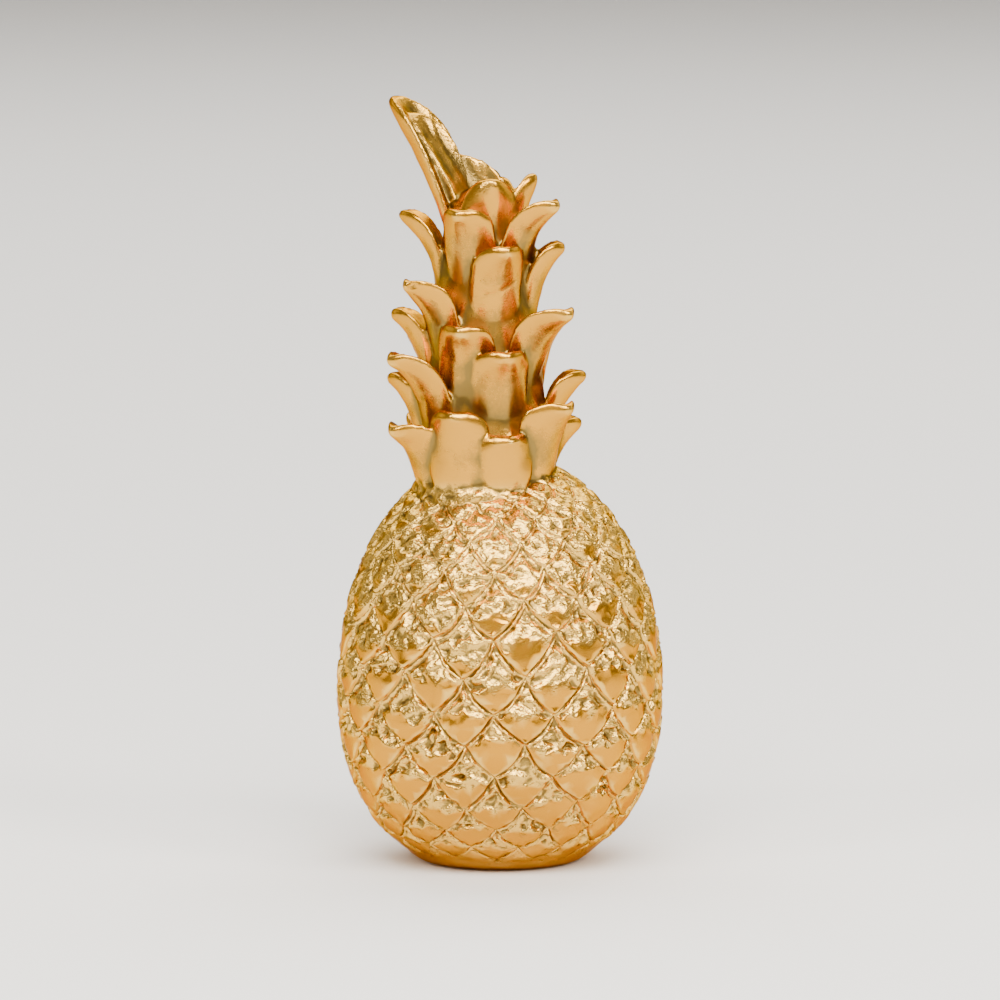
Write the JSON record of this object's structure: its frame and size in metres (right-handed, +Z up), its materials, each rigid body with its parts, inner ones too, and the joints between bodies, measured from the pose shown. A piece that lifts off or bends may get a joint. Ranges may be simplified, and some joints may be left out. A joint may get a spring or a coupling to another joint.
{
  "type": "pineapple figurine",
  "caption": "Gilded, cast ornament in the shape of a whole pineapple: a quilted, egg-shaped fruit with a flat foot and a tall leafy crown.",
  "frame": {"origin": "middle of the flat underside, on the fruit's axis", "axes": "+Z up through the fruit to the crown, -Y towards the front, +X to the front viewer's right"},
  "size_m": [0.1004, 0.1004, 0.2349],
  "materials": {
    "satin_gold": "satin gold paint over a cast body, warmer and darker in the hollows and brighter on the crests"
  },
  "bodies": {
    "root": {"pineapple_figurine": "satin_gold"}
  },
  "joints": []
}
